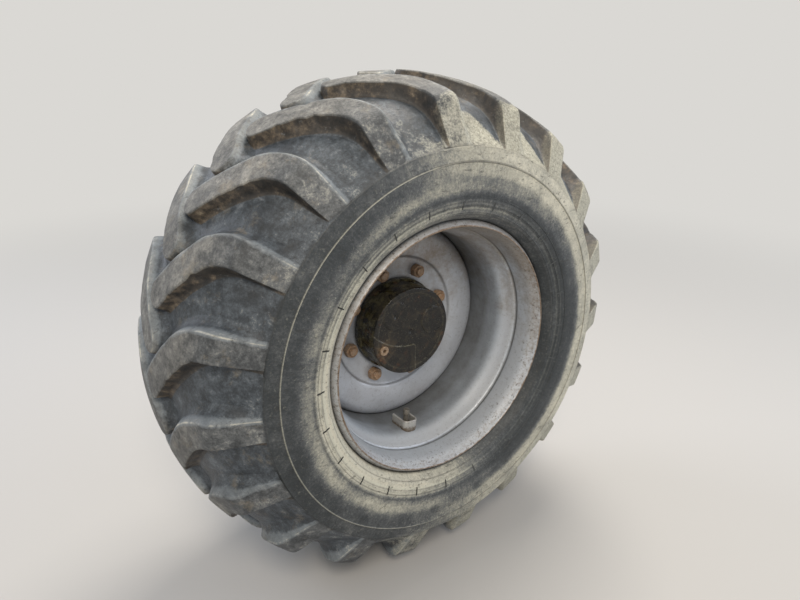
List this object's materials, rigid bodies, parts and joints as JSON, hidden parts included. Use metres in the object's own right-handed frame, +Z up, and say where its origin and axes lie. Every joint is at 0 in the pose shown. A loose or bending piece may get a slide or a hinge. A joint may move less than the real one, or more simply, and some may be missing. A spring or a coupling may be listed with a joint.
{
  "type": "site dumper front wheel",
  "caption": "Wide lugged tyre on a deep dished rim, bolted to a final-drive hub that turns on the end of a flanged axle arm.",
  "frame": {"origin": "centre of the axle arm's mounting face, where it bolts to the axle's centre housing", "axes": "+Z up, the axle line is Y and +Y points inboard out of the mounting face, so the wheel is at negative Y with its outer face towards -Y"},
  "size_m": [1.1824, 0.575, 1.1814],
  "materials": {
    "tyre_rubber": "worn, muddy",
    "rim_paint": "satin, weathered",
    "disc_paint": "satin, weathered",
    "hub_casting": "oily",
    "cover_casting": "oily, dirty",
    "plug_steel": "rusty",
    "nut_steel": "rusty",
    "spindle_steel": "machined",
    "seal_rubber": "matte",
    "arm_paint": "satin, dusty",
    "valve_steel": "dull, dirty",
    "guard_paint": "satin, weathered"
  },
  "bodies": {
    "axle_end": {"axle_arm": "arm_paint", "spindle": "spindle_steel", "hub_seal": "seal_rubber"},
    "wheel": {"hub": "hub_casting", "final_drive_cover": "cover_casting", "drain_plug": "plug_steel", "wheel_nuts": "nut_steel", "disc": "disc_paint", "rim": "rim_paint", "tyre": "tyre_rubber", "tyre_valve": "valve_steel", "valve_guard": "guard_paint"}
  },
  "joints": [
    {"name": "wheel_spin", "type": "hinge", "parent": "axle_end", "child": "wheel", "pos_m": [0, -0.32, 0], "axis": [0, 1, 0], "continuous": true}
  ]
}
